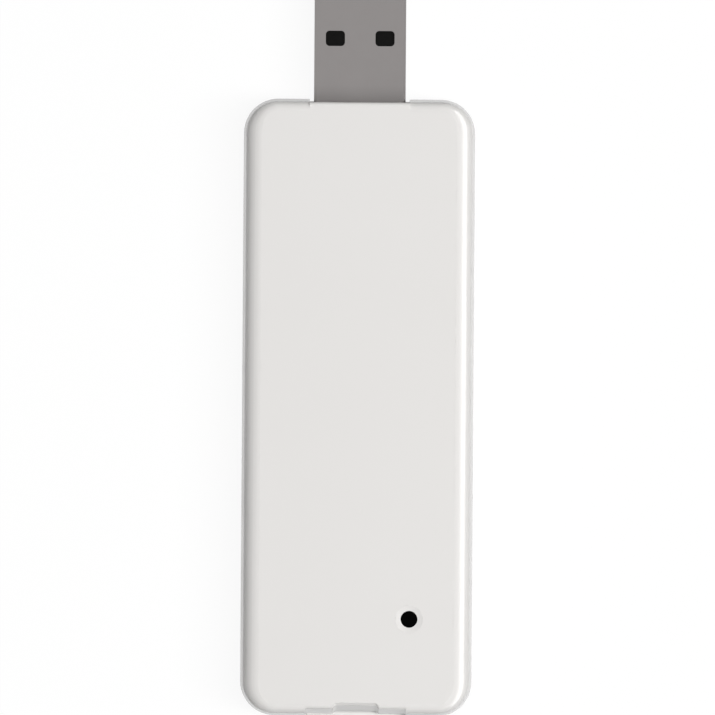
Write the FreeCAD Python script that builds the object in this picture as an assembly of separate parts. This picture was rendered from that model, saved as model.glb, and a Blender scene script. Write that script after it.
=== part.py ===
"""USB cellular modem: a white two-shell stick with a type A plug at one end.

Millimetres. The modem lies on its back, with the flat front face up. +X runs across the stick,
+Y runs along it towards the plug's tip, and +Z points out of the front face. The origin is under
the middle of the whole length, on the surface that the back face rests on.
"""

import FreeCAD, Part
import math
import os

# Housing, measured on the parting plane where the two covers meet
body_width = 30.3
body_length = 80.8
body_thickness = 11.0
corner_radius = 4.5
parting_height = 5.5
parting_bevel = 0.12
draft_angle = 5.5
side_shoulder_radius = 2.1
end_shoulder_radius = 1.2
back_edge_radius = 1.2
side_wall = 1.6
face_wall = 1.2

# Lip of the front cover in the rebate of the back cover, with its snap beads
lip_height = 1.2
lip_thickness = 0.75
lip_clearance = 0.06
snap_depth = 0.3
snap_land = 0.15
snap_top_gap = 0.2
snap_low_gap = 0.1
snap_length = 5.0
snap_count = 3
snap_pitch = 20.0

# Flat panels in the shoulders at the two ends
panel_side_gap = 0.55
panel_inner_reach = 4.0
panel_edge_radius = 0.5
panel_margin = 0.6
plug_panel_setback = 0.5
sim_panel_setback = 1.1

# Ribs and posts inside the covers
rib_thickness = 0.8
rib_shield_gap = 0.6
rib_spread = 7.0
rib_count = 4
rib_pitch = 12.0
first_rib = 22.0
post_width = 3.2
post_wall_gap = 2.65
post_shield_gap = 3.5
near_post_inset = 6.5
peg_radius = 0.75
peg_reach = 1.4
peg_clearance = 0.1
seat_clearance = 0.05

# Main board
board_thickness = 1.0
board_drop = 0.3
board_clearance = 0.3

# Plug shell, folded from one sheet
plug_width = 12.0
plug_height = 4.5
plug_corner = 0.5
plug_sheet = 0.3
plug_reach = 14.0
plug_inside = 4.8
plug_clearance = 0.15
plug_tip_bevel = 0.12
plug_seam = 0.08
seam_key_from_body = 4.7
seam_key_width = 1.5
seam_key_root = 1.4
seam_key_crest = 2.0
window_width = 2.5
window_length = 2.0
window_corner = 0.5
window_spacing = 6.5
window_from_tip = 6.1
tab_length = 1.6
tab_relief = 0.15
tab_reach = 1.9
tab_leg = 0.5
tab_bend = 0.35
tab_from_rear = 1.5

# Plug insulator and its four contacts
insulator_clearance = 0.04
insulator_block = 5.6
insulator_tip_gap = 0.4
insulator_tip_chamfer = 0.35
contact_width = 1.0
contact_thickness = 0.25
contact_clearance = 0.02
contact_bend = 0.2
outer_contact_spread = 3.5
inner_contact_spread = 1.0
long_contact_start = 1.0
short_contact_start = 2.0
contact_tail = 2.0
contact_straight_tail = 0.5
contact_joggle = 0.4

# Status light and its lens
light_x = 6.9
light_distance = 12.8
light_hole_radius = 1.1
light_dish_radius = 1.8
light_dish_depth = 0.15
lens_clearance = 0.04
lens_recess = 0.12
lens_bevel = 0.08
lens_flange_size = 3.6
lens_flange_height = 0.6
lens_light_gap = 0.3
lens_collar_wall = 0.7
lens_collar_height = 1.2
light_length = 1.6
light_width = 0.8
light_height = 0.6
light_foot = 0.32
light_base = 0.3

# SIM card, its socket and the slot in the far end
card_width = 12.3
card_length = 8.8
card_thickness = 0.67
card_corner = 1.0
card_key_corner = 1.65
card_end_setback = 0.45
card_clearance = 0.08
socket_floor = 0.35
socket_wall = 0.55
socket_sheet = 0.15
socket_sheet_clearance = 0.02
socket_end_gap = 0.05
slot_side_clearance = 0.2
slot_headroom = 0.15
slot_wall = 2.9
slot_wall_margin = 1.2
notch_width = 6.2
notch_depth = 1.5
notch_bevel = 0.35
notch_slope = 1.1
notch_corner = 0.7
sim_contact_pitch = 2.54
sim_contact_spread = 3.81
sim_contact_width = 0.8
sim_contact_sheet = 0.15
sim_contact_tail = 0.5
sim_contact_slope = 1.2
sim_contact_bend = 0.25
sim_contact_gap = 0.12

# Shield cans on both faces of the board
shield_width = 21.0
shield_length = 32.0
shield_start = 20.0
front_shield_height = 2.0
back_shield_height = 1.6
shield_sheet = 0.2
shield_clearance = 0.03
shield_rim = 0.8
shield_skirt_gap = 0.35
shield_corner_relief = 0.9
shield_vent_width = 0.8
shield_vent_length = 2.4
shield_vent_pitch = 4.0
shield_vent_count = 7

# Chips under the shields
chip_gap = 1.0
chip_substrate = 0.25
chip_cap_inset = 0.3
chip_mark_size = 0.6
chip_mark_inset = 0.7
chip_mark_depth = 0.08
baseband_size = 13.0
baseband_height = 1.1
memory_width = 9.0
memory_length = 11.0
memory_height = 1.0
manager_size = 5.0
manager_height = 0.8
transceiver_size = 7.0
transceiver_height = 0.8
amplifier_width = 4.0
amplifier_length = 5.0
amplifier_height = 0.9
crystal_width = 2.5
crystal_length = 3.2
crystal_height = 0.7
crystal_corner = 0.35
crystal_base = 0.35
crystal_can_inset = 0.1
pad_margin = 0.6
pad_bridge_gap = 0.8

# Antennas
carrier_side_gap = 1.25
carrier_roof_gap = 0.35
carrier_wall = 0.8
carrier_gap = 0.3
carrier_arch_gap = 0.3
antenna_sheet = 0.15
antenna_margin = 0.7
antenna_slot = 0.8
antenna_arm = 1.9
feed_width = 1.2
feed_bend = 0.25
feed_foot = 1.2
feed_x = -9.0
side_antenna_width = 2.4
side_antenna_height = 2.4
side_antenna_edge_gap = 0.65
side_antenna_end_gap = 0.8
side_antenna_bend = 0.4

# Small parts between the shields and the plug
small_part_inset = 18.0
small_part_pitch = 5.5
inductor_size = 4.0
inductor_height = 1.9
inductor_base = 0.35
inductor_core_radius = 1.75
capacitor_width = 2.8
capacitor_length = 3.5
capacitor_height = 1.9
capacitor_terminal = 0.5
capacitor_terminal_height = 0.8
capacitor_terminal_sheet = 0.1
connector_size = 2.2
connector_height = 0.8
connector_hole_radius = 0.5
connector_step = 0.2
connector_base = 0.4
connector_floor = 0.2
choke_width = 1.2
choke_length = 2.0
choke_height = 0.9
choke_groove = 0.3
protector_size = 2.0
protector_height = 0.6
protector_lead = 0.3
protector_lead_width = 0.4
protector_lead_sheet = 0.15

# Places that follow from the sizes
far_end = -(body_length + plug_reach) / 2
near_end = far_end + body_length
tip_y = near_end + plug_reach
body_middle = (far_end + near_end) / 2
panel_width = plug_width + 2 * panel_side_gap
board_top = parting_height - board_drop
board_bottom = board_top - board_thickness
board_inset = side_wall + board_clearance
front_inside = body_thickness - face_wall
plug_length = plug_reach + plug_inside
plug_rear = tip_y - plug_length
card_bottom = board_top + socket_floor
card_top = card_bottom + card_thickness
socket_cover_low = card_top + card_clearance
socket_cover_top = socket_cover_low + socket_sheet
slot_top = socket_cover_top + slot_headroom
card_outer_end = far_end + card_end_setback
card_inner_end = card_outer_end + card_length
socket_start = far_end + side_wall + board_clearance + socket_end_gap
socket_pocket_end = card_inner_end + card_clearance
socket_end = socket_pocket_end + socket_wall
socket_pocket_half = card_width / 2 + card_clearance
socket_half = socket_pocket_half + socket_wall
shield_middle = shield_start + shield_length / 2
shield_end = shield_start + shield_length
small_part_distance = body_length - small_part_inset
post_spread = body_width / 2 - side_wall - post_wall_gap
far_post = shield_start - post_shield_gap
near_post = body_length - near_post_inset
lens_collar_half = lens_flange_size / 2 + lens_clearance + lens_collar_wall
carrier_start = slot_wall + carrier_gap
carrier_end = light_distance - lens_collar_half - carrier_gap
carrier_width = body_width - 2 * (side_wall + carrier_side_gap)
carrier_length = carrier_end - carrier_start
carrier_height = front_inside - carrier_roof_gap - antenna_sheet - board_top
overcut = 1.0
same_place = 1e-6


def vec(x, y, z):
    return FreeCAD.Vector(x, y, z)


X_AXIS = vec(1, 0, 0)
Y_AXIS = vec(0, 1, 0)
Z_AXIS = vec(0, 0, 1)
ORIGIN = vec(0, 0, 0)


def along(distance):
    """The y of a point that lies this far from the body's far end."""
    return far_end + distance


def draft_inset(height):
    """How far a drafted wall leans in over this height."""
    return height * math.tan(math.radians(draft_angle))


def block(x_low, x_high, y_low, y_high, z_low, z_high):
    corner = vec(x_low, y_low, z_low)
    return Part.makeBox(x_high - x_low, y_high - y_low, z_high - z_low, corner)


def disc(x, y, z_low, z_high, radius):
    return Part.makeCylinder(radius, z_high - z_low, vec(x, y, z_low))


def outline(width, length, radius, height=0.0):
    """A level rectangle with round corners, centred on the Z axis."""
    corner_x = width / 2 - radius
    corner_y = length / 2 - radius
    arcs = []
    for turn, (side_x, side_y) in enumerate([(1, 1), (-1, 1), (-1, -1), (1, -1)]):
        centre = vec(side_x * corner_x, side_y * corner_y, height)
        arcs.append(Part.makeCircle(radius, centre, Z_AXIS, 90 * turn, 90 * turn + 90))
    edges = []
    for arc, following in zip(arcs, arcs[1:] + arcs[:1]):
        start = arc.valueAt(arc.LastParameter)
        end = following.valueAt(following.FirstParameter)
        edges.append(arc)
        edges.append(Part.makeLine(start, end))
    return Part.Wire(edges)


def plate(width, length, radius, z_low, z_high):
    """A level plate with round corners, centred on the Z axis."""
    face = Part.Face(outline(width, length, radius, z_low))
    return face.extrude(vec(0, 0, z_high - z_low))


def moved(shape, x, y, z):
    shape.translate(vec(x, y, z))
    return shape


def on_front(shape, x, distance):
    """Seats a part that was modelled on z = 0 on the board's front face."""
    return moved(shape, x, along(distance), board_top)


def on_back(shape, x, distance):
    """Seats a part that was modelled on z = 0 upside down on the board's back face."""
    shape.rotate(ORIGIN, Y_AXIS, 180)
    return moved(shape, x, along(distance), board_bottom)


def bent_path(points, radius):
    """Straight runs through the points, joined by arcs of one radius."""
    edges = []
    start = points[0]
    for before, corner, after in zip(points, points[1:], points[2:]):
        way_in = (corner - before).normalize()
        way_out = (after - corner).normalize()
        half_turn = way_in.getAngle(way_out) / 2
        reach = radius * math.tan(half_turn)
        first = corner - way_in * reach
        last = corner + way_out * reach
        inward = (way_out - way_in).normalize()
        middle = corner + inward * (radius / math.cos(half_turn) - radius)
        edges.append(Part.makeLine(start, first))
        edges.append(Part.Arc(first, middle, last).toShape())
        start = last
    edges.append(Part.makeLine(start, points[-1]))
    return Part.Wire(edges)


def bent_strip(points, across, width, thickness, radius):
    """A strip of sheet that follows the points; its width lies along the axis across."""
    direction = (points[1] - points[0]).normalize()
    half_width = across * (width / 2)
    half_sheet = direction.cross(across) * (thickness / 2)
    start = points[0]
    corners = [
        start + half_width + half_sheet,
        start - half_width + half_sheet,
        start - half_width - half_sheet,
        start + half_width - half_sheet,
    ]
    section = Part.makePolygon(corners + corners[:1])
    return bent_path(points, radius).makePipeShell([section], True, False)


def extruded_profile(points, direction):
    return Part.Face(Part.makePolygon(points + points[:1])).extrude(direction)


def revolved_profile(points):
    """Turns a closed outline of (radius, height) pairs round the Z axis."""
    corners = [vec(radius, 0, height) for radius, height in points]
    return Part.Face(Part.makePolygon(corners + corners[:1])).revolve(ORIGIN, Z_AXIS, 360)


# Housing

def body_outline(inset, height):
    """The body's outline, moved in by the inset, at one height."""
    wire = outline(body_width - 2 * inset, body_length - 2 * inset, corner_radius - inset, height)
    return moved(wire, 0, body_middle, 0)


def body_slab(inset, z_low, z_high):
    return Part.Face(body_outline(inset, z_low)).extrude(vec(0, 0, z_high - z_low))


def drafted_body(face_height):
    """The solid from the parting plane to one face, with a small bevel at the parting line."""
    sense = 1 if face_height > parting_height else -1
    drafted_height = abs(face_height - parting_height) - parting_bevel
    sections = [
        body_outline(parting_bevel, parting_height),
        body_outline(0, parting_height + sense * parting_bevel),
        body_outline(draft_inset(drafted_height), face_height),
    ]
    return Part.makeLoft(sections, True, True)


def level_edges(solid, height):
    """The numbers and edges of a solid that lie flat at one height."""
    found = []
    for number, edge in enumerate(solid.Edges, 1):
        low_gap = abs(edge.BoundBox.ZMin - height)
        high_gap = abs(edge.BoundBox.ZMax - height)
        if max(low_gap, high_gap) < same_place:
            found.append((number, edge))
    return found


def round_shoulder(solid):
    """Rounds the front face's edge, with a wider radius along the sides than across the ends."""
    flat_length = solid.BoundBox.YMax - body_middle
    flat_length -= draft_inset(body_thickness - parting_height - parting_bevel)

    def radius_at(point):
        on_end = abs(abs(point.y - body_middle) - flat_length) < same_place
        return end_shoulder_radius if on_end else side_shoulder_radius

    rounds = []
    for number, edge in level_edges(solid, body_thickness):
        first = radius_at(edge.valueAt(edge.FirstParameter))
        last = radius_at(edge.valueAt(edge.LastParameter))
        rounds.append((number, first, last))
    document = FreeCAD.newDocument("shoulder")
    base = document.addObject("Part::Feature", "base")
    base.Shape = solid
    rounded = document.addObject("Part::Fillet", "rounded")
    rounded.Base = base
    rounded.Edges = rounds
    document.recompute()
    return rounded.Shape.copy()


def end_panel(end_y, inward, foot, setback):
    """Carries the front face flat through the shoulder to a panel across one end."""
    def corner(depth, height):
        return vec(-panel_width / 2, end_y + inward * depth, height)

    pad = extruded_profile([
        corner(foot, parting_height),
        corner(setback, body_thickness),
        corner(panel_inner_reach, body_thickness),
        corner(panel_inner_reach, parting_height),
    ], vec(panel_width, 0, 0))
    outer_y = end_y + inward * setback
    edges = []
    for _, edge in level_edges(pad, body_thickness):
        if abs(edge.CenterOfMass.y - outer_y) < same_place:
            edges.append(edge)
    return pad.makeFillet(panel_edge_radius, edges)


def plug_panel():
    return end_panel(near_end, -1, plug_panel_setback, plug_panel_setback)


def sim_panel():
    """The panel over the slot, which slopes out to the parting line."""
    return end_panel(far_end, 1, parting_bevel, sim_panel_setback)


def plug_recess():
    """The space in front of the plug's panel, in both covers."""
    half = panel_width / 2
    low = parting_height - plug_height / 2 - panel_margin
    return block(-half, half, near_end - plug_panel_setback, near_end + overcut,
                 low, body_thickness + overcut)


def sim_recess():
    """The space outside the sloping panel over the slot."""
    half = panel_width / 2
    inner_y = far_end + sim_panel_setback + 2 * panel_edge_radius
    space = block(-half, half, far_end - overcut, inner_y, parting_height, body_thickness + overcut)
    return space.cut(sim_panel())


def sim_slot():
    half = card_width / 2 + slot_side_clearance
    outer = far_end - overcut
    return block(-half, half, outer, along(slot_wall) + overcut, parting_height - overcut, slot_top)


def finger_notch():
    """A notch over the slot with a sloping inner wall, where a fingertip pushes the card in."""
    half = notch_width / 2
    profile = [
        vec(-half, far_end - overcut, body_thickness + overcut),
        vec(-half, along(notch_depth + notch_bevel) + overcut, body_thickness + overcut),
        vec(-half, along(notch_depth), body_thickness - notch_bevel),
        vec(-half, along(notch_depth - notch_slope), slot_top - overcut),
        vec(-half, far_end - overcut, slot_top - overcut),
    ]
    notch = extruded_profile(profile, vec(notch_width, 0, 0))
    corners = []
    for edge in notch.Edges:
        upright = edge.BoundBox.XLength < same_place and edge.BoundBox.ZLength > same_place
        if upright and edge.BoundBox.YMin > far_end:
            corners.append(edge)
    return notch.makeFillet(notch_corner, corners)


def plug_opening():
    face = Part.Face(plug_section(plug_clearance, plug_rear - overcut))
    return face.extrude(vec(0, plug_length, 0))


def ring_ends(extra):
    """Blocks over the plug and the slot, where the lip and its rebate stop."""
    half = panel_width / 2 + extra
    blocks = []
    for y in (far_end, near_end):
        reach = side_wall + overcut
        blocks.append(block(-half, half, y - reach, y + reach, 0, body_thickness))
    return blocks[0].fuse(blocks[1])


def snap_beads(growth):
    """Wedges along both sides of the lip, grown evenly to make their pockets."""
    root = body_width / 2 - side_wall + lip_thickness
    crest = root + snap_depth + growth
    high = parting_height - snap_top_gap + growth
    low = parting_height - lip_height + snap_low_gap - growth
    beads = []
    for side in (-1, 1):
        for number in range(snap_count):
            middle = body_middle + (number - (snap_count - 1) / 2) * snap_pitch
            y = middle - snap_length / 2 - growth
            points = [
                vec(side * (root - lip_thickness / 2), y, high),
                vec(side * root, y, high),
                vec(side * crest, y, high - snap_depth),
                vec(side * crest, y, high - snap_depth - snap_land),
                vec(side * root, y, low),
                vec(side * (root - lip_thickness / 2), y, low),
            ]
            beads.append(extruded_profile(points, vec(0, snap_length + 2 * growth, 0)))
    return beads


def lip_ring():
    """The lip's outer form, with no lip over the plug and the slot."""
    inset = side_wall - lip_thickness
    ring = body_slab(inset, parting_height - lip_height, parting_height + lip_height)
    trimmed = ring.cut(ring_ends(2 * lip_clearance))
    for bead in snap_beads(0):
        trimmed = trimmed.fuse(bead)
    return trimmed


def rebate():
    """The space in the back cover that the lip drops into."""
    inset = side_wall - lip_thickness - lip_clearance
    low = parting_height - lip_height - lip_clearance
    space = body_slab(inset, low, parting_height + overcut).cut(ring_ends(0))
    for pocket in snap_beads(lip_clearance):
        space = space.fuse(pocket)
    return space


def ribs(z_low, z_high):
    """Two long ribs crossed by short ones."""
    length = (rib_count - 1) * rib_pitch
    start = along(first_rib)
    walls = []
    half = rib_thickness / 2
    for side in (-1, 1):
        x = side * rib_spread
        walls.append(block(x - half, x + half, start, start + length, z_low, z_high))
    for number in range(rib_count):
        y = start + number * rib_pitch
        walls.append(block(-post_spread, post_spread, y - half, y + half, z_low, z_high))
    return walls


def post_pair(distance):
    """The two places beside the centre line where posts hold the board."""
    return [(side * post_spread, along(distance)) for side in (-1, 1)]


def posts(z_low, z_high):
    """Square posts that clamp the board near its four corners."""
    half = post_width / 2
    for x, y in post_pair(far_post) + post_pair(near_post):
        yield block(x - half, x + half, y - half, y + half, z_low, z_high)


def pegs(growth, z_low, z_high):
    """Round pegs through the board beside the plug, grown evenly to make their holes."""
    for x, y in post_pair(near_post):
        yield disc(x, y, z_low, z_high, peg_radius + growth)


def plug_saddle(z_low, z_high):
    """A rib across the cover that steadies the back of the plug's shell."""
    half = plug_width / 2 - plug_corner
    y = plug_rear + rib_thickness
    return block(-half, half, y - rib_thickness / 2, y + rib_thickness / 2, z_low, z_high)


def front_cover():
    shell = round_shoulder(drafted_body(body_thickness))
    shell = shell.fuse(plug_panel()).fuse(sim_panel()).removeSplitter()
    shell = shell.fuse(lip_ring())
    shell = shell.cut(body_slab(side_wall, parting_height - lip_height - overcut, front_inside))
    post_low = board_top + seat_clearance
    slot_block_half = panel_width / 2 + slot_wall_margin
    additions = ribs(board_top + front_shield_height + rib_shield_gap, front_inside)
    additions.append(block(-slot_block_half, slot_block_half, along(side_wall / 2), along(slot_wall),
                           slot_top, front_inside))
    additions.append(plug_saddle(parting_height + plug_height / 2 + seat_clearance, front_inside))
    additions.append(lens_block(lens_collar_half, front_inside - lens_collar_height, front_inside))
    additions.extend(posts(post_low, front_inside))
    for addition in additions:
        shell = shell.fuse(addition)
    openings = [plug_opening(), plug_recess(), sim_recess(), sim_slot(), finger_notch()]
    openings.extend(pegs(peg_clearance, post_low - overcut, board_top + peg_reach + peg_clearance))
    openings.extend(light_openings())
    for opening in openings:
        shell = shell.cut(opening)
    return shell.removeSplitter()


def lens_block(half, z_low, z_high):
    """A square block centred under the light's hole."""
    y = along(light_distance)
    return block(light_x - half, light_x + half, y - half, y + half, z_low, z_high)


def light_openings():
    """The light's hole with its shallow dish, and the pocket that holds the lens's flange."""
    y = along(light_distance)
    hole = disc(light_x, y, front_inside - overcut, body_thickness + overcut, light_hole_radius)
    pocket = lens_block(lens_flange_size / 2 + lens_clearance,
                        front_inside - lens_collar_height - overcut, front_inside)
    dish = Part.makeCone(light_hole_radius, light_dish_radius, light_dish_depth,
                         vec(light_x, y, body_thickness - light_dish_depth))
    return hole, pocket, dish


def back_cover():
    shell = drafted_body(0)
    shell = shell.makeFillet(back_edge_radius, [edge for _, edge in level_edges(shell, 0)])
    shell = shell.cut(body_slab(side_wall, face_wall, parting_height + overcut))
    shell = shell.cut(rebate())
    additions = ribs(face_wall, board_bottom - back_shield_height - rib_shield_gap)
    additions.append(plug_saddle(face_wall, parting_height - plug_height / 2 - seat_clearance))
    additions.extend(posts(face_wall, board_bottom))
    additions.extend(pegs(0, board_bottom, board_top + peg_reach))
    for addition in additions:
        shell = shell.fuse(addition)
    shell = shell.cut(plug_opening())
    shell = shell.cut(plug_recess())
    return shell.removeSplitter()


# Status light

def led_lens():
    """A dark light pipe: a bevelled tip in the hole, a square flange and a stem down to the light."""
    tip_radius = light_hole_radius - lens_clearance
    tip_top = body_thickness - lens_recess
    stem_low = board_top + light_height + lens_light_gap
    flange_top = front_inside - lens_clearance
    flange_low = flange_top - lens_flange_height
    stem = revolved_profile([
        (0, stem_low),
        (tip_radius, stem_low),
        (tip_radius, tip_top - lens_bevel),
        (tip_radius - lens_bevel, tip_top),
        (0, tip_top),
    ])
    stem = moved(stem, light_x, along(light_distance), 0)
    return stem.fuse(lens_block(lens_flange_size / 2, flange_low, flange_top))


def status_led():
    """A small surface-mounted light with a metal foot at each end."""
    half = light_length / 2
    width = light_width / 2
    base = block(-width, width, -half, half, 0, light_base)
    lamp = block(-width, width, -half + light_foot, half - light_foot, 0, light_height)
    return on_front(base.fuse(lamp).removeSplitter(), light_x, light_distance)


# Main board

def main_board():
    board = body_slab(board_inset, board_bottom, board_top)
    plug_half = plug_width / 2 + plug_clearance
    cutouts = [block(-plug_half, plug_half, plug_rear - plug_clearance, near_end, 0, body_thickness)]
    cutouts.extend(pegs(peg_clearance, 0, body_thickness))
    for side in (-1, 1):
        x = side * tab_leg_x()
        ends = sorted((x - side * tab_bend, x + side * (plug_sheet / 2 + peg_clearance)))
        half_y = tab_length / 2 + peg_clearance
        y = plug_rear + tab_from_rear
        cutouts.append(block(ends[0], ends[1], y - half_y, y + half_y, 0, body_thickness))
    for cutout in cutouts:
        board = board.cut(cutout)
    return board


# Plug

def plug_section(growth, y):
    """The plug's upright cross-section, grown evenly all round."""
    wire = outline(plug_width + 2 * growth, plug_height + 2 * growth, plug_corner + growth)
    wire.rotate(ORIGIN, X_AXIS, 90)
    return moved(wire, 0, y, parting_height)


def tab_leg_x():
    return plug_width / 2 + tab_reach


def plug_windows():
    windows = []
    for side in (-1, 1):
        window = plate(window_width, window_length, window_corner, 0, body_thickness)
        windows.append(moved(window, side * window_spacing / 2, tip_y - window_from_tip, 0))
    return windows


def seam_key(growth, root_x):
    """The dovetail that keys the two edges of the folded sheet together."""
    low = parting_height - plug_height / 2
    middle = near_end + seam_key_from_body
    root = seam_key_root / 2 + growth
    crest = seam_key_crest / 2 + growth
    crest_x = seam_key_width + growth
    points = [
        vec(root_x, middle - root, low - overcut),
        vec(crest_x, middle - crest, low - overcut),
        vec(crest_x, middle + crest, low - overcut),
        vec(root_x, middle + root, low - overcut),
    ]
    return extruded_profile(points, vec(0, 0, overcut + 2 * plug_sheet))


def plug_seam_gap():
    """The thin joint down the back of the folded sheet, which runs round the dovetail."""
    low = parting_height - plug_height / 2
    half = plug_seam / 2
    high = low + 2 * plug_sheet
    line = block(-half, half, plug_rear - overcut, tip_y + overcut, low - overcut, high)
    return line.fuse(seam_key(half, 0)).cut(seam_key(-half, -plug_seam))


def plug_tabs():
    """Strips folded out of the side walls: flat on the board, then down through it."""
    wall_x = (plug_width - plug_sheet) / 2
    seat = board_top + plug_sheet / 2
    y = plug_rear + tab_from_rear
    tabs = []
    for side in (-1, 1):
        points = [
            vec(side * wall_x, y, seat + 2 * tab_bend),
            vec(side * wall_x, y, seat),
            vec(side * tab_leg_x(), y, seat),
            vec(side * tab_leg_x(), y, board_bottom - tab_leg),
        ]
        tabs.append(bent_strip(points, Y_AXIS, tab_length, plug_sheet, tab_bend))
    return tabs


def tab_windows():
    """The gaps left in the side walls where the tabs were folded out."""
    y = plug_rear + tab_from_rear
    half = tab_length / 2 + tab_relief
    high = board_top + plug_sheet / 2 + tab_bend
    low = parting_height - plug_height / 2 + plug_corner
    gaps = []
    for side in (-1, 1):
        inner = side * (plug_width / 2 - plug_corner)
        outer = side * (plug_width / 2 + overcut)
        gaps.append(block(min(inner, outer), max(inner, outer), y - half, y + half, low, high))
    return gaps


def usb_plug_shell():
    outer = Part.Face(plug_section(0, plug_rear)).extrude(vec(0, plug_length, 0))
    tip_edges = [edge for edge in outer.Edges if abs(edge.BoundBox.YMin - tip_y) < same_place]
    outer = outer.makeChamfer(plug_tip_bevel, tip_edges)
    hollow = Part.Face(plug_section(-plug_sheet, plug_rear - overcut))
    shell = outer.cut(hollow.extrude(vec(0, plug_length + 2 * overcut, 0)))
    for opening in plug_windows() + tab_windows() + [plug_seam_gap()]:
        shell = shell.cut(opening)
    for tab in plug_tabs():
        shell = shell.fuse(tab)
    return shell.removeSplitter()


def usb_plug_insulator():
    """A tongue behind the front face of the shell, and a block that closes the shell's back."""
    gap = plug_sheet + insulator_clearance
    half = plug_width / 2 - gap
    high = parting_height + plug_height / 2 - gap
    low = parting_height - plug_height / 2 + gap
    block_end = plug_rear + insulator_block
    tongue_end = tip_y - insulator_tip_gap
    profile = [
        vec(-half, plug_rear, low),
        vec(-half, block_end, low),
        vec(-half, block_end, parting_height),
        vec(-half, tongue_end - insulator_tip_chamfer, parting_height),
        vec(-half, tongue_end, parting_height + insulator_tip_chamfer),
        vec(-half, tongue_end, high),
        vec(-half, plug_rear, high),
    ]
    body = extruded_profile(profile, vec(2 * half, 0, 0))
    long_edges = []
    for edge in body.Edges:
        along_y = edge.BoundBox.YLength > contact_width
        at_side = abs(abs(edge.CenterOfMass.x) - half) < same_place
        outside = abs(edge.CenterOfMass.z - parting_height) > plug_height / 2 - gap - same_place
        if along_y and at_side and outside:
            long_edges.append(edge)
    body = body.makeFillet(plug_corner, long_edges)
    groove_half = contact_width / 2 + contact_clearance
    groove_low = parting_height - contact_clearance
    groove_high = parting_height + contact_thickness + contact_clearance
    for x, start in contact_places():
        groove_end = tip_y - start + contact_clearance
        groove = block(x - groove_half, x + groove_half, plug_rear - overcut, groove_end,
                       groove_low, groove_high)
        body = body.cut(groove)
    return body


def contact_places():
    """Where each contact lies and how far from the tip it starts: ground, data, data, power."""
    return (
        (-outer_contact_spread, long_contact_start),
        (-inner_contact_spread, short_contact_start),
        (inner_contact_spread, short_contact_start),
        (outer_contact_spread, long_contact_start),
    )


def usb_contact(x, start):
    """A strip along the tongue that steps down behind the plug to a pad on the board."""
    high = parting_height + contact_thickness / 2
    low = board_top + contact_thickness / 2
    bend_y = plug_rear - contact_straight_tail
    points = [
        vec(x, tip_y - start, high),
        vec(x, bend_y, high),
        vec(x, bend_y - contact_joggle, low),
        vec(x, plug_rear - contact_tail, low),
    ]
    return bent_strip(points, X_AXIS, contact_width, contact_thickness, contact_bend)


# SIM card and socket

def sim_card():
    half_x = card_width / 2
    half_y = card_length / 2
    card = plate(card_width, card_length, card_corner, card_bottom, card_top)
    corner_fill = [
        vec(half_x + overcut, half_y - card_key_corner - overcut, card_bottom),
        vec(half_x + overcut, half_y + overcut, card_bottom),
        vec(half_x - card_key_corner - overcut, half_y + overcut, card_bottom),
    ]
    card = card.cut(extruded_profile(corner_fill, vec(0, 0, card_thickness)))
    return moved(card, 0, card_outer_end + half_y, 0)


def sim_contact_rows():
    """The centres of the card's six pads: three along the card on each side."""
    middle = card_outer_end + card_length / 2
    for side in (-1, 1):
        for step in (-1, 0, 1):
            yield side, middle + step * sim_contact_pitch


def sim_socket_base():
    """A shallow plastic tray with a slot for each spring contact."""
    base = block(-socket_half, socket_half, socket_start, socket_end, board_top, socket_cover_low)
    pocket = block(-socket_pocket_half, socket_pocket_half, socket_start - overcut, socket_pocket_end,
                   card_bottom, body_thickness)
    base = base.cut(pocket)
    inner = sim_contact_spread - sim_contact_slope - sim_contact_gap
    slot_half = sim_contact_width / 2 + sim_contact_gap
    for side, y in sim_contact_rows():
        ends = sorted((side * inner, side * (socket_half + overcut)))
        low = max(y - slot_half, socket_start - overcut)
        base = base.cut(block(ends[0], ends[1], low, y + slot_half, board_top - overcut,
                              board_top + sim_contact_sheet + sim_contact_gap))
        crest = sorted((side * inner, side * (socket_pocket_half - card_corner)))
        base = base.cut(block(crest[0], crest[1], low, y + slot_half, board_top, card_bottom + overcut))
    return base


def sim_contact(side, y):
    """A flat tail under the socket's wall, then a ramp up to the card's pad and down to the tip."""
    low = board_top + sim_contact_sheet / 2
    high = card_bottom - sim_contact_sheet / 2
    points = [
        vec(side * (socket_half + socket_sheet + sim_contact_tail), y, low),
        vec(side * (sim_contact_spread + sim_contact_slope), y, low),
        vec(side * sim_contact_spread, y, high),
        vec(side * (sim_contact_spread - sim_contact_slope), y, (low + high) / 2),
    ]
    return bent_strip(points, Y_AXIS, sim_contact_width, sim_contact_sheet, sim_contact_bend)


def sim_socket_cover():
    """A folded sheet lid with skirts down to the board, notched over the contact tails."""
    inner = socket_half + socket_sheet_clearance
    outer = inner + socket_sheet
    lid = block(-outer, outer, socket_start, socket_end, board_top, socket_cover_top)
    hollow = block(-inner, inner, socket_start - overcut, socket_end + overcut,
                   board_top - overcut, socket_cover_low)
    lid = lid.cut(hollow)
    edges = []
    for edge in lid.Edges:
        along_y = edge.BoundBox.YLength > socket_wall
        at_side = abs(abs(edge.CenterOfMass.x) - outer) < same_place
        on_top = abs(edge.CenterOfMass.z - socket_cover_top) < same_place
        if along_y and at_side and on_top:
            edges.append(edge)
    lid = lid.makeFillet(socket_sheet, edges)
    notch_half = sim_contact_width / 2 + 2 * sim_contact_gap
    for side, y in sim_contact_rows():
        ends = sorted((side * (inner - overcut), side * (outer + overcut)))
        lid = lid.cut(block(ends[0], ends[1], y - notch_half, y + notch_half, board_top - overcut,
                            board_top + sim_contact_sheet + 2 * sim_contact_gap))
    return lid


# Shields and the chips under them

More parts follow.
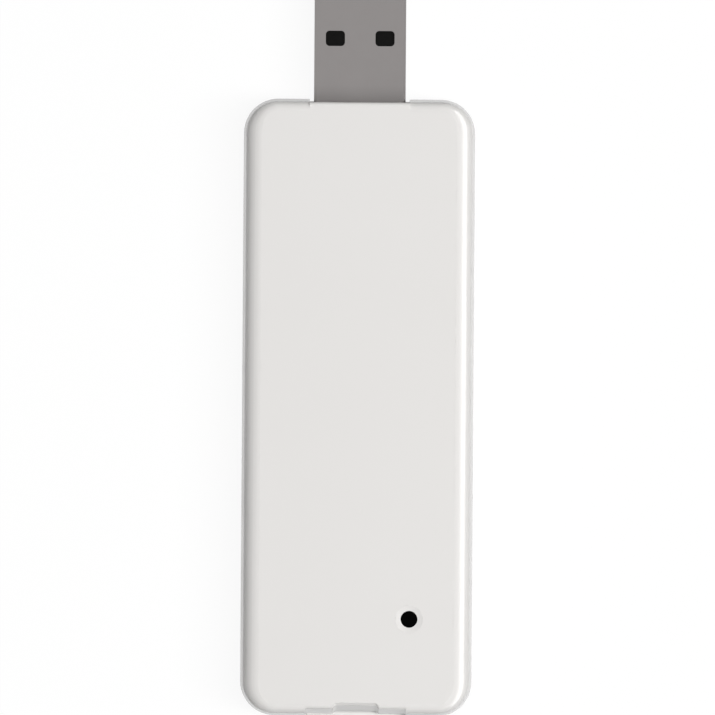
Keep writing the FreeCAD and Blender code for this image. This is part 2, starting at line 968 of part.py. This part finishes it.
def shield_frame(height):
    """A thin wall round the chips with a narrow rim on top, soldered to the board."""
    width = shield_width - 2 * (shield_sheet + shield_clearance)
    length = shield_length - 2 * (shield_sheet + shield_clearance)
    top = height - shield_sheet - shield_clearance
    frame = block(-width / 2, width / 2, -length / 2, length / 2, 0, top)
    inner_x = width / 2 - shield_sheet
    inner_y = length / 2 - shield_sheet
    frame = frame.cut(block(-inner_x, inner_x, -inner_y, inner_y, -overcut, top - shield_sheet))
    rim_x = inner_x - shield_rim
    rim_y = inner_y - shield_rim
    frame = frame.cut(block(-rim_x, rim_x, -rim_y, rim_y, 0, height))
    bridge = block(-inner_x, inner_x, -shield_rim, shield_rim, top - shield_sheet, top)
    return frame.fuse(bridge).removeSplitter()


def shield_lid(height):
    """A folded lid: a plate with vents and four skirts that stop short of the corners and board."""
    half_x = shield_width / 2
    half_y = shield_length / 2
    lid = block(-half_x, half_x, -half_y, half_y, shield_skirt_gap, height)
    inner_x = half_x - shield_sheet
    inner_y = half_y - shield_sheet
    lid = lid.cut(block(-inner_x, inner_x, -inner_y, inner_y, 0, height - shield_sheet))
    for side_x in (-1, 1):
        for side_y in (-1, 1):
            ends_x = sorted((side_x * (half_x - shield_corner_relief), side_x * (half_x + overcut)))
            ends_y = sorted((side_y * (half_y - shield_corner_relief), side_y * (half_y + overcut)))
            lid = lid.cut(block(ends_x[0], ends_x[1], ends_y[0], ends_y[1], 0, height - shield_sheet))
    vent_x = inner_x - 2 * shield_rim
    for number in range(shield_vent_count):
        y = (number - (shield_vent_count - 1) / 2) * shield_vent_pitch
        lid = lid.cut(block(vent_x - shield_vent_width, vent_x, y - shield_vent_length / 2,
                            y + shield_vent_length / 2, 0, height + overcut))
    return lid


def chip(width, length, height):
    """A moulded package: a thin substrate under a cap with a small mark at its first corner."""
    substrate = block(-width / 2, width / 2, -length / 2, length / 2, 0, chip_substrate)
    cap_x = width / 2 - chip_cap_inset
    cap_y = length / 2 - chip_cap_inset
    cap = block(-cap_x, cap_x, -cap_y, cap_y, 0, height)
    mark_x = chip_mark_inset - cap_x
    mark_y = cap_y - chip_mark_inset
    mark = block(mark_x, mark_x + chip_mark_size, mark_y - chip_mark_size, mark_y,
                 height - chip_mark_depth, height + overcut)
    return substrate.fuse(cap).cut(mark).removeSplitter()


def baseband_distance():
    return shield_middle + baseband_size / 2


def baseband_chip():
    return on_front(chip(baseband_size, baseband_size, baseband_height), 0, baseband_distance())


def memory_distance():
    return baseband_distance() - baseband_size / 2 - chip_gap - memory_length / 2


def memory_chip():
    return on_front(chip(memory_width, memory_length, memory_height), -chip_gap, memory_distance())


def side_chip_x():
    """The x of the chips beside the memory, which is moved the other way by one gap."""
    return (memory_width + manager_size - chip_gap) / 2


def power_management_chip():
    part = chip(manager_size, manager_size, manager_height)
    return on_front(part, side_chip_x(), memory_distance() + manager_size / 2)


def crystal_oscillator():
    """A metal can with round corners on a ceramic base."""
    half_x = crystal_width / 2
    half_y = crystal_length / 2
    base = block(-half_x, half_x, -half_y, half_y, 0, crystal_base)
    can_width = crystal_width - 2 * crystal_can_inset
    can_length = crystal_length - 2 * crystal_can_inset
    can = plate(can_width, can_length, crystal_corner, 0, crystal_height)
    distance = memory_distance() - chip_gap - half_y
    return on_front(base.fuse(can).removeSplitter(), side_chip_x(), distance)


def thermal_pad():
    """A soft pad that fills the gap between the baseband chip and the shield's lid."""
    half = baseband_size / 2 - pad_margin
    start = shield_middle + shield_rim + pad_bridge_gap
    end = baseband_distance() + half
    pad = block(-half, half, start, end, baseband_height, front_shield_height - shield_sheet)
    return on_front(pad, 0, 0)


def radio_transceiver_chip():
    part = chip(transceiver_size, transceiver_size, transceiver_height)
    return on_back(part, 0, shield_middle + shield_rim + chip_gap + transceiver_size / 2)


def power_amplifier_chip():
    part = chip(amplifier_width, amplifier_length, amplifier_height)
    return on_back(part, 0, shield_middle - shield_rim - chip_gap - amplifier_length / 2)


# Antennas

def antenna_carrier():
    """A plastic bridge over the SIM socket, open underneath, that lifts the antenna off the board."""
    half_x = carrier_width / 2
    half_y = carrier_length / 2
    carrier = block(-half_x, half_x, -half_y, half_y, 0, carrier_height)
    hollow_x = half_x - carrier_wall
    hollow_y = half_y - carrier_wall
    carrier = carrier.cut(block(-hollow_x, hollow_x, -hollow_y, hollow_y,
                                -overcut, carrier_height - carrier_wall))
    arch_half = socket_half + socket_sheet + sim_contact_tail + carrier_arch_gap
    arch_top = socket_cover_top - board_top + carrier_arch_gap
    arch = block(-arch_half, arch_half, -carrier_length, carrier_length, -overcut, arch_top)
    return on_front(carrier.cut(arch), 0, carrier_start + half_y)


def main_antenna():
    """A stamped sheet on the carrier: a folded line of arms, with a leg down to the board."""
    width = carrier_width - 2 * antenna_margin
    length = carrier_length - 2 * antenna_margin
    top = carrier_height + antenna_sheet
    sheet = block(-width / 2, width / 2, -length / 2, length / 2, carrier_height, top)
    pitch = antenna_arm + antenna_slot
    slots = int((width - antenna_arm) / pitch)
    for number in range(slots):
        x = -width / 2 + antenna_arm + number * pitch
        side = 1 if number % 2 else -1
        ends = sorted((side * length, side * (antenna_arm - length / 2)))
        sheet = sheet.cut(block(x, x + antenna_slot, ends[0], ends[1], 0, top + overcut))
    high = carrier_height + antenna_sheet / 2
    low = antenna_sheet / 2
    leg_y = carrier_length / 2 + feed_bend
    points = [
        vec(feed_x, length / 2 - feed_bend, high),
        vec(feed_x, leg_y, high),
        vec(feed_x, leg_y, low),
        vec(feed_x, leg_y + feed_foot, low),
    ]
    leg = bent_strip(points, X_AXIS, feed_width, antenna_sheet, feed_bend)
    return on_front(sheet.fuse(leg).removeSplitter(), 0, carrier_start + carrier_length / 2)


def diversity_antenna():
    """A low metal arch along one edge of the board, with a foot at each end."""
    low = antenna_sheet / 2
    high = side_antenna_height - antenna_sheet / 2
    start = shield_end + side_antenna_end_gap
    end = near_post - post_width / 2 - side_antenna_end_gap
    points = [
        vec(0, start, low),
        vec(0, start + feed_foot, low),
        vec(0, start + feed_foot, high),
        vec(0, end - feed_foot, high),
        vec(0, end - feed_foot, low),
        vec(0, end, low),
    ]
    arch = bent_strip(points, X_AXIS, side_antenna_width, antenna_sheet, side_antenna_bend)
    board_half = body_width / 2 - board_inset
    x = board_half - side_antenna_edge_gap - side_antenna_width / 2
    return on_front(arch, -x, 0)


# Small parts between the shields and the plug

def power_inductor():
    """A square base with a round wound core and a square cap."""
    half = inductor_size / 2
    base = block(-half, half, -half, half, 0, inductor_base)
    core = disc(0, 0, 0, inductor_height, inductor_core_radius)
    cap = block(-half, half, -half, half, inductor_height - inductor_base, inductor_height)
    return on_front(base.fuse(core).fuse(cap).removeSplitter(), small_part_pitch, small_part_distance)


def burst_capacitor(x):
    """A moulded block whose flat terminals wrap under its two ends."""
    half_x = capacitor_width / 2
    half_y = capacitor_length / 2
    low = capacitor_terminal_sheet
    body = block(-half_x, half_x, -half_y, half_y, low, capacitor_height)
    terminal_x = half_x - capacitor_terminal / 2
    for side in (-1, 1):
        ends = sorted((side * (half_y - capacitor_terminal), side * (half_y + capacitor_terminal_sheet)))
        foot = block(-terminal_x, terminal_x, ends[0], ends[1], 0, capacitor_terminal_sheet)
        face = sorted((side * half_y, side * (half_y + capacitor_terminal_sheet)))
        riser = block(-terminal_x, terminal_x, face[0], face[1], 0, capacitor_terminal_height)
        body = body.fuse(foot).fuse(riser)
    return on_front(body.removeSplitter(), x, small_part_distance)


def rf_test_connector(x):
    """A small switch connector: a stepped square body with a round probe hole."""
    half = connector_size / 2
    base = block(-half, half, -half, half, 0, connector_base)
    top = half - connector_step
    body = base.fuse(block(-top, top, -top, top, 0, connector_height))
    hole = disc(0, 0, connector_floor, connector_height + overcut, connector_hole_radius)
    part = body.cut(hole).removeSplitter()
    return on_front(part, x, small_part_distance + small_part_pitch)


def usb_choke():
    """The filter on the plug's data lines: a ferrite block with four end terminals."""
    half_x = choke_width / 2
    half_y = choke_length / 2
    body = block(-half_x, half_x, -half_y, half_y, 0, choke_height)
    groove = block(-choke_width, choke_width, -choke_groove, choke_groove,
                   choke_height - choke_groove, choke_height + overcut)
    return on_front(body.cut(groove), 0, small_part_distance + small_part_pitch)


def sim_esd_protector():
    """A small package with three leads on each side."""
    half = protector_size / 2
    body = block(-half, half, -half, half, 0, protector_height)
    lead_half = protector_lead_width / 2
    for side in (-1, 1):
        for step in (-1, 0, 1):
            y = step * (half - lead_half)
            ends = sorted((side * (half - protector_lead), side * (half + protector_lead)))
            lead = block(ends[0], ends[1], y - lead_half, y + lead_half, 0, protector_lead_sheet)
            body = body.fuse(lead)
    return on_front(body.removeSplitter(), 0, light_distance)


def nodes():
    """Every separate piece, by name."""
    pieces = {
        "front_cover": front_cover(),
        "back_cover": back_cover(),
        "led_lens": led_lens(),
        "status_led": status_led(),
        "main_board": main_board(),
        "usb_plug_shell": usb_plug_shell(),
        "usb_plug_insulator": usb_plug_insulator(),
        "sim_card": sim_card(),
        "sim_socket_base": sim_socket_base(),
        "sim_socket_cover": sim_socket_cover(),
        "baseband_shield_frame": on_front(shield_frame(front_shield_height), 0, shield_middle),
        "baseband_shield_lid": on_front(shield_lid(front_shield_height), 0, shield_middle),
        "radio_shield_frame": on_back(shield_frame(back_shield_height), 0, shield_middle),
        "radio_shield_lid": on_back(shield_lid(back_shield_height), 0, shield_middle),
        "baseband_chip": baseband_chip(),
        "memory_chip": memory_chip(),
        "power_management_chip": power_management_chip(),
        "crystal_oscillator": crystal_oscillator(),
        "thermal_pad": thermal_pad(),
        "radio_transceiver_chip": radio_transceiver_chip(),
        "power_amplifier_chip": power_amplifier_chip(),
        "antenna_carrier": antenna_carrier(),
        "main_antenna": main_antenna(),
        "diversity_antenna": diversity_antenna(),
        "power_inductor": power_inductor(),
        "burst_capacitor_left": burst_capacitor(-small_part_pitch),
        "burst_capacitor_middle": burst_capacitor(0),
        "main_rf_test_connector": rf_test_connector(small_part_pitch),
        "diversity_rf_test_connector": rf_test_connector(-small_part_pitch),
        "usb_choke": usb_choke(),
        "sim_esd_protector": sim_esd_protector(),
    }
    names = ("ground", "data_plus", "data_minus", "power")
    for name, (x, start) in zip(names, contact_places()):
        pieces["usb_contact_" + name] = usb_contact(x, start)
    for number, (side, y) in enumerate(sim_contact_rows(), 1):
        pieces["sim_contact_" + str(number)] = sim_contact(side, y)
    return pieces


os.makedirs("parts", exist_ok=True)
for name, shape in nodes().items():
    print(name, "solids", len(shape.Solids), "volume", round(shape.Volume, 3), "valid", shape.isValid())
    shape.exportStep("parts/" + name + ".step")
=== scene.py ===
"""A white stick-shaped modem lying on its back, seen from straight above in soft studio light.

Metres, in the part's own frame: +X across the stick, +Y towards the plug's tip, +Z out of the front
face, and the floor a hair below z = 0. Every piece keeps its modelled shape, and this file gives
each its finish.
"""

import math

import bpy
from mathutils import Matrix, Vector


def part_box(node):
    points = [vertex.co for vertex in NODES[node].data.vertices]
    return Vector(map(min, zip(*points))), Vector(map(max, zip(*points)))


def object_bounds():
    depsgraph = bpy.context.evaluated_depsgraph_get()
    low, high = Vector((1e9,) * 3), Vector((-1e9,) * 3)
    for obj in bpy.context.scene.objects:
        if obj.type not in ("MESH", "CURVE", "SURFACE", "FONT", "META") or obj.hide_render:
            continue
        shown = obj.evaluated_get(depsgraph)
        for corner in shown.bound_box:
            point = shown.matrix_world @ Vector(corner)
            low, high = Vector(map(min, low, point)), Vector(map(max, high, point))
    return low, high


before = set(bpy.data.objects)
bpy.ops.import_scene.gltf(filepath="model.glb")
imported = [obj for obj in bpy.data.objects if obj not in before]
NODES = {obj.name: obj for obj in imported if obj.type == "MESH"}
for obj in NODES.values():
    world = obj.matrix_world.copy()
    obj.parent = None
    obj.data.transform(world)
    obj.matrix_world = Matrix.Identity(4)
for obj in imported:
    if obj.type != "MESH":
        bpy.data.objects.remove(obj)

MM = 0.001
CAD_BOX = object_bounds()
WHITE = (1.0, 1.0, 1.0, 1.0)

# Camera: the photograph's scale, the point in the middle of its view, and its slight turn
PHOTO_PIXELS = 715
PIXELS_PER_MM = 7.635
PHOTO_WIDTH = PHOTO_PIXELS / PIXELS_PER_MM * MM
PHOTO_CENTRE = Vector((-0.065 * MM, -0.45 * MM, 6.5 * MM))
PHOTO_TURN = math.radians(0.4)
LENS = 600.0
SENSOR = 36.0

# Light: one soft lamp overhead, a little to the right, and a long strip for the right edge's gloss
SKY_LIGHT = 0.03
TOP_POWER = 18.95
TOP_PLACE = Vector((0.40, -0.06, 1.23))
TOP_SIZE = (0.3, 1.2)
RIM_POWER = 48.0
RIM_PLACE = Vector((1.17, 0.0, 0.57))
RIM_SIZE = (3.0, 0.85)

# Floor: pale where it throws light back, and nearly all glow where it is seen or mirrored
FLOOR_SIZE = 6.0
FLOOR_LEVEL = -0.05 * MM
FLOOR_PALE = (0.55, 0.55, 0.55, 1.0)
FLOOR_GLOW_SHARE = 0.92

# Housing: its two flat faces are finely matted, and its shoulders and sides are polished
HOUSING = ("front_cover", "back_cover")
POLISHED_ROUGHNESS = 0.18
MATTE_ROUGHNESS = 0.8
MATTE_EDGE = 0.04 * MM
POLISHED_EDGE = 0.22 * MM

# Plug: painted shade beside the body, a darker tone for the body's shadow on the plug, has this share,
# and fades out between these distances from it
PLUG_PAINTED_SHADE_SHARE = 0.4
PLUG_PAINTED_SHADE_START = 0.2 * MM
PLUG_PAINTED_SHADE_STOP = 1.8 * MM

# Soft noise keeps mostly to this range, and a finish's roughness is spread over it
NOISE_RANGE = (0.3, 0.7)
PLATED_SPREAD = 0.1
MOULDED_SPREAD = 0.08

# Places of a mix node's colour sockets, whose names its other sockets have too
MIX_FIRST_COLOUR = 6
MIX_SECOND_COLOUR = 7
MIX_RESULT_COLOUR = 2


def opaque(red, green, blue):
    """A colour in the form that sockets take."""
    return (red, green, blue, 1.0)


def grey(level):
    """An even grey in the form that sockets take."""
    return opaque(level, level, level)


class Finish:
    """One material's node tree, built by short calls that return output sockets."""

    def __init__(self, name):
        self.material = bpy.data.materials.new("finish_" + name)
        self.material.use_nodes = True
        self.tree = self.material.node_tree
        self.shader = self.tree.nodes["Principled BSDF"]
        self.place = self.add("ShaderNodeTexCoord").outputs["Object"]

    def add(self, kind):
        return self.tree.nodes.new(kind)

    def feed(self, socket, value):
        """Links an output to the socket, or sets a plain value on it."""
        if isinstance(value, bpy.types.NodeSocket):
            self.tree.links.new(value, socket)
        else:
            socket.default_value = value

    def give(self, name, value):
        """Feeds the shader's socket of this name."""
        self.feed(self.shader.inputs[name], value)

    def constants(self, **values):
        """Sets shader sockets that are the same all over."""
        for name, value in values.items():
            self.give(name, value)

    def scaled(self, size, along=1):
        """Coordinates in which one unit is this size in metres, and that many times it along Y."""
        mapping = self.add("ShaderNodeMapping")
        mapping.inputs["Scale"].default_value = (1 / size, 1 / (size * along), 1 / size)
        self.feed(mapping.inputs["Vector"], self.place)
        return mapping.outputs["Vector"]

    def noise(self, size, detail=2.0, along=1):
        """Soft noise from 0 to 1 in blots of about this size, drawn out that many times along Y."""
        texture = self.add("ShaderNodeTexNoise")
        texture.inputs["Scale"].default_value = 1.0
        texture.inputs["Detail"].default_value = detail
        self.feed(texture.inputs["Vector"], self.scaled(size, along))
        return texture.outputs["Fac"]

    def cell_edges(self, size):
        """Distance from the nearest edge between random cells of about this size."""
        texture = self.add("ShaderNodeTexVoronoi")
        texture.feature = "DISTANCE_TO_EDGE"
        texture.inputs["Scale"].default_value = 1.0
        self.feed(texture.inputs["Vector"], self.scaled(size))
        return texture.outputs["Distance"]

    def ranged(self, value, source, target):
        """Maps the value's source range, low and high, onto the target range, held at its ends."""
        node = self.add("ShaderNodeMapRange")
        self.feed(node.inputs["Value"], value)
        for name, number in zip(("From Min", "From Max", "To Min", "To Max"), (*source, *target)):
            node.inputs[name].default_value = number
        return node.outputs["Result"]

    def maths(self, operation, first, second=0.0):
        """The result of Blender's maths node for one or two values."""
        node = self.add("ShaderNodeMath")
        node.operation = operation
        self.feed(node.inputs[0], first)
        self.feed(node.inputs[1], second)
        return node.outputs["Value"]

    def axis(self, name):
        """One coordinate of the surface point, in metres."""
        node = self.add("ShaderNodeSeparateXYZ")
        self.feed(node.inputs["Vector"], self.place)
        return node.outputs[name]

    def mixed(self, share, first, second):
        """A colour between two, by the second one's share."""
        node = self.add("ShaderNodeMix")
        node.data_type = "RGBA"
        self.feed(node.inputs["Factor"], share)
        self.feed(node.inputs[MIX_FIRST_COLOUR], first)
        self.feed(node.inputs[MIX_SECOND_COLOUR], second)
        return node.outputs[MIX_RESULT_COLOUR]

    def tones(self, dark, light, size, detail=2.0):
        """Gives a base colour that wanders between two tones, in blots of about this size."""
        self.give("Base Color", self.mixed(self.noise(size, detail), dark, light))

    def rough(self, pattern, smooth, dull):
        """Gives a roughness between two values, by a pattern of soft noise."""
        self.give("Roughness", self.ranged(pattern, NOISE_RANGE, (smooth, dull)))

    def bump(self, height, depth, strength):
        """Raises the surface by the height, whose full range is this depth in metres."""
        node = self.add("ShaderNodeBump")
        node.inputs["Strength"].default_value = strength
        node.inputs["Distance"].default_value = depth
        self.feed(node.inputs["Height"], height)
        self.give("Normal", node.outputs["Normal"])


def matte_share(finish):
    """1 on the housing's two flat faces, falling to 0 down the start of the shoulders."""
    (_, _, low), (_, _, high) = CAD_BOX
    reach = (high - low) / 2
    height = finish.maths("SUBTRACT", finish.axis("Z"), (high + low) / 2)
    distance = finish.maths("ABSOLUTE", height)
    return finish.ranged(distance, (reach - POLISHED_EDGE, reach - MATTE_EDGE), (0.0, 1.0))


def shell_white():
    """White plastic, matted on its faces and polished round its edges, with faint handling marks."""
    finish = Finish("shell_white")
    finish.tones(opaque(0.765, 0.75, 0.733), opaque(0.785, 0.771, 0.755), 22 * MM, detail=3.0)
    plain = finish.ranged(matte_share(finish), (0.0, 1.0), (POLISHED_ROUGHNESS, MATTE_ROUGHNESS))
    rubs = finish.ranged(finish.noise(6 * MM, detail=4.0), (0.35, 0.7), (0.0, 0.06))
    hairlines = finish.noise(0.3 * MM, detail=1.0, along=40)
    scratches = finish.ranged(hairlines, (0.66, 0.76), (0.0, 0.02))
    marks = finish.maths("ADD", rubs, scratches)
    finish.give("Roughness", finish.maths("ADD", plain, marks))
    finish.bump(finish.noise(0.09 * MM), depth=0.0015 * MM, strength=0.5)
    finish.constants(IOR=1.46)
    return finish.material


def smoked_lens():
    """Clear plastic smoked nearly black, with faint scuffs.

    The photographed dot mirrors none of its white surroundings, hence the low index of refraction.
    """
    finish = Finish("smoked_lens")
    finish.tones(grey(0.0006), grey(0.0018), 0.5 * MM)
    finish.rough(finish.noise(0.3 * MM), 0.12, 0.2)
    finish.bump(finish.noise(0.4 * MM), depth=0.002 * MM, strength=0.3)
    finish.constants(IOR=1.06)
    return finish.material


def plug_steel():
    """Plated sheet, blotted and streaked by rolling along the plug, with painted shade where it enters
    the body.
    """
    finish = Finish("plug_steel")
    streaks = finish.noise(0.12 * MM, detail=3.0, along=90)
    blots = finish.noise(2.5 * MM, detail=4.0)
    plain = finish.mixed(blots, opaque(0.273, 0.258, 0.254), opaque(0.295, 0.279, 0.275))
    streak_share = finish.ranged(streaks, NOISE_RANGE, (0.0, 0.2))
    rolled = finish.mixed(streak_share, plain, opaque(0.32, 0.303, 0.298))
    _, body_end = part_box("front_cover")
    fade = (body_end.y + PLUG_PAINTED_SHADE_START, body_end.y + PLUG_PAINTED_SHADE_STOP)
    # Painted shade: a darker tone mixed in beside the body, where the body's shadow falls on the plug
    painted_shade = finish.ranged(finish.axis("Y"), fade, (PLUG_PAINTED_SHADE_SHARE, 0.0))
    finish.give("Base Color", finish.mixed(painted_shade, rolled, opaque(0.20, 0.19, 0.187)))
    finish.rough(streaks, 0.33, 0.43)
    finish.bump(streaks, depth=0.002 * MM, strength=0.35)
    finish.constants(Metallic=1.0, Anisotropic=0.35)
    return finish.material


def insulator_black():
    """Nearly black moulded plastic, which shows through the plug's windows and hardly shines there."""
    finish = Finish("insulator_black")
    finish.tones(opaque(0.002, 0.002, 0.0018), opaque(0.0035, 0.0035, 0.0032), 1.2 * MM)
    finish.rough(finish.noise(0.5 * MM), 0.5, 0.62)
    finish.bump(finish.noise(0.06 * MM), depth=0.004 * MM, strength=0.4)
    finish.constants(IOR=1.2)
    return finish.material


def plated(name, dull, bright, roughness):
    """Plated sheet metal with fine brushing."""
    finish = Finish(name)
    finish.tones(dull, bright, 1.5 * MM, detail=3.0)
    brushing = finish.noise(0.05 * MM, along=20)
    finish.rough(brushing, roughness, roughness + PLATED_SPREAD)
    finish.bump(brushing, depth=0.001 * MM, strength=0.4)
    finish.constants(Metallic=1.0)
    return finish.material


def contact_gold():
    return plated("contact_gold", opaque(0.62, 0.40, 0.12), opaque(0.74, 0.50, 0.17), roughness=0.22)


def shield_tin():
    return plated("shield_tin", opaque(0.40, 0.40, 0.38), opaque(0.52, 0.52, 0.50), roughness=0.3)


def antenna_copper():
    return plated("antenna_copper", opaque(0.55, 0.26, 0.13), opaque(0.66, 0.33, 0.17), roughness=0.28)


def moulded(name, dark, light, roughness, grain=0.1 * MM):
    """Plain moulded plastic, or what has a like surface, with a fine grain of this size."""
    finish = Finish(name)
    finish.tones(dark, light, 2 * MM, detail=3.0)
    finish.rough(finish.noise(1 * MM), roughness, roughness + MOULDED_SPREAD)
    finish.bump(finish.noise(grain), depth=0.004 * MM, strength=0.4)
    return finish.material


def chip_black():
    return moulded("chip_black", grey(0.012), grey(0.02), roughness=0.5)


def carrier_black():
    return moulded("carrier_black", grey(0.014), grey(0.022), roughness=0.42)


def socket_cream():
    return moulded("socket_cream", opaque(0.24, 0.21, 0.15), opaque(0.29, 0.26, 0.19), roughness=0.48)


def capacitor_yellow():
    return moulded("capacitor_yellow", opaque(0.42, 0.21, 0.02), opaque(0.5, 0.27, 0.03), roughness=0.5)


def ferrite_grey():
    return moulded("ferrite_grey", grey(0.035), grey(0.055), roughness=0.6, grain=0.05 * MM)


def pad_grey():
    return moulded("pad_grey", opaque(0.10, 0.115, 0.135), opaque(0.13, 0.145, 0.165), roughness=0.7)


def light_white():
    return moulded("light_white", opaque(0.66, 0.64, 0.42), opaque(0.74, 0.72, 0.5), roughness=0.3)


def card_white():
    return moulded("card_white", opaque(0.62, 0.62, 0.605), opaque(0.68, 0.68, 0.665), roughness=0.42)


def board_green():
    """Solder mask over a faint net of copper tracks."""
    finish = Finish("board_green")
    tracks = finish.ranged(finish.cell_edges(2.2 * MM), (0.03, 0.05), (1.0, 0.0))
    finish.give("Base Color", finish.mixed(tracks, opaque(0.006, 0.05, 0.016), opaque(0.014, 0.10, 0.03)))
    finish.rough(finish.noise(1.5 * MM), 0.25, 0.35)
    finish.bump(tracks, depth=0.02 * MM, strength=0.5)
    return finish.material


FINISHES = {
    "shell_white": shell_white,
    "smoked_lens": smoked_lens,
    "plug_steel": plug_steel,
    "insulator_black": insulator_black,
    "contact_gold": contact_gold,
    "board_green": board_green,
    "shield_tin": shield_tin,
    "chip_black": chip_black,
    "pad_grey": pad_grey,
    "light_white": light_white,
    "socket_cream": socket_cream,
    "carrier_black": carrier_black,
    "antenna_copper": antenna_copper,
    "capacitor_yellow": capacitor_yellow,
    "ferrite_grey": ferrite_grey,
    "card_white": card_white,
}


def dress_nodes():
    """Gives every node the finish of the slot that its imported material names."""
    made = {}
    for node in NODES.values():
        for slot in node.material_slots:
            name = slot.material.name
            if name not in made:
                made[name] = FINISHES[name]()
            slot.material = made[name]


def background_ray(tree):
    """An output that is 1 for camera, glossy and transmission rays, which see the backdrop."""
    rays = tree.nodes.new("ShaderNodeLightPath")
    total = rays.outputs["Is Camera Ray"]
    for name in ("Is Glossy Ray", "Is Transmission Ray"):
        either = tree.nodes.new("ShaderNodeMath")
        either.operation = "MAXIMUM"
        tree.links.new(total, either.inputs[0])
        tree.links.new(rays.outputs[name], either.inputs[1])
        total = either.outputs["Value"]
    return total


def mix_shaders(tree, share, first, second, output):
    """Leads two shaders to the output node, mixed by the second one's share."""
    mix = tree.nodes.new("ShaderNodeMixShader")
    for source, socket in zip((share, first, second), mix.inputs):
        tree.links.new(source, socket)
    tree.links.new(mix.outputs["Shader"], output.inputs["Surface"])


def glowing(node, strength=1.0):
    """Makes an emission or background node shine, plain white at strength 1, and returns its shader."""
    node.inputs["Color"].default_value = WHITE
    node.inputs["Strength"].default_value = strength
    return node.outputs[0]


def make_world():
    """A dim even sky for light, which shows white as a backdrop."""
    world = bpy.data.worlds.new("studio")
    world.use_nodes = True
    tree = world.node_tree
    sky = glowing(tree.nodes["Background"], SKY_LIGHT)
    backdrop = glowing(tree.nodes.new("ShaderNodeBackground"))
    mix_shaders(tree, background_ray(tree), sky, backdrop, tree.nodes["World Output"])
    bpy.context.scene.world = world


def floor_finish():
    """A pale surface for light, and a nearly white one for the rays that see the backdrop."""
    finish = Finish("floor")
    seen = background_ray(finish.tree)
    finish.give("Base Color", finish.mixed(seen, FLOOR_PALE, WHITE))
    finish.constants(Roughness=0.9, IOR=1.3)
    glow = glowing(finish.add("ShaderNodeEmission"))
    share = finish.maths("MULTIPLY", seen, FLOOR_GLOW_SHARE)
    plain = finish.shader.outputs["BSDF"]
    mix_shaders(finish.tree, share, plain, glow, finish.tree.nodes["Material Output"])
    return finish.material


def make_floor():
    """A square floor, which keeps the part's soft shadow."""
    half = FLOOR_SIZE / 2
    places = ((-half, -half), (half, -half), (half, half), (-half, half))
    mesh = bpy.data.meshes.new("floor")
    mesh.from_pydata([(x, y, FLOOR_LEVEL) for x, y in places], [], [(0, 1, 2, 3)])
    mesh.materials.append(floor_finish())
    floor = bpy.data.objects.new("floor", mesh)
    bpy.context.scene.collection.objects.link(floor)


def make_lamp(name, place, size, power):
    """A rectangular soft lamp that faces the part and isn't seen itself."""
    data = bpy.data.lights.new(name, "AREA")
    data.shape = "RECTANGLE"
    data.size, data.size_y = size
    data.energy = power
    lamp = bpy.data.objects.new(name, data)
    lamp.location = place
    lamp.rotation_euler = (-place).to_track_quat("-Z", "Y").to_euler()
    lamp.visible_camera = False
    bpy.context.scene.collection.objects.link(lamp)
    return lamp


def light_only(lamp, names):
    """Keeps the lamp to these nodes, so that the bends of the plug's sheet show no hard streak."""
    receivers = bpy.data.collections.new(lamp.name + "_receivers")
    for name in names:
        receivers.objects.link(NODES[name])
    lamp.light_linking.receiver_collection = receivers


def make_lamps():
    """The overhead lamp, which nothing mirrors, and the strip, which only shows as gloss."""
    top = make_lamp("top", TOP_PLACE, TOP_SIZE, TOP_POWER)
    top.visible_glossy = False
    rim = make_lamp("rim", RIM_PLACE, RIM_SIZE, RIM_POWER)
    rim.visible_diffuse = False
    light_only(rim, HOUSING)


def make_camera():
    """The photograph's view, from so far that it shows hardly any perspective."""
    data = bpy.data.cameras.new("camera")
    data.lens = LENS
    data.sensor_width = SENSOR
    distance = PHOTO_WIDTH * LENS / SENSOR
    camera = bpy.data.objects.new("camera", data)
    camera.location = PHOTO_CENTRE + Vector((0, 0, distance))
    camera.rotation_euler = (0, 0, PHOTO_TURN)
    bpy.context.scene.collection.objects.link(camera)
    bpy.context.scene.camera = camera


dress_nodes()
make_world()
make_floor()
make_lamps()
make_camera()
bpy.context.scene.view_settings.view_transform = "Standard"
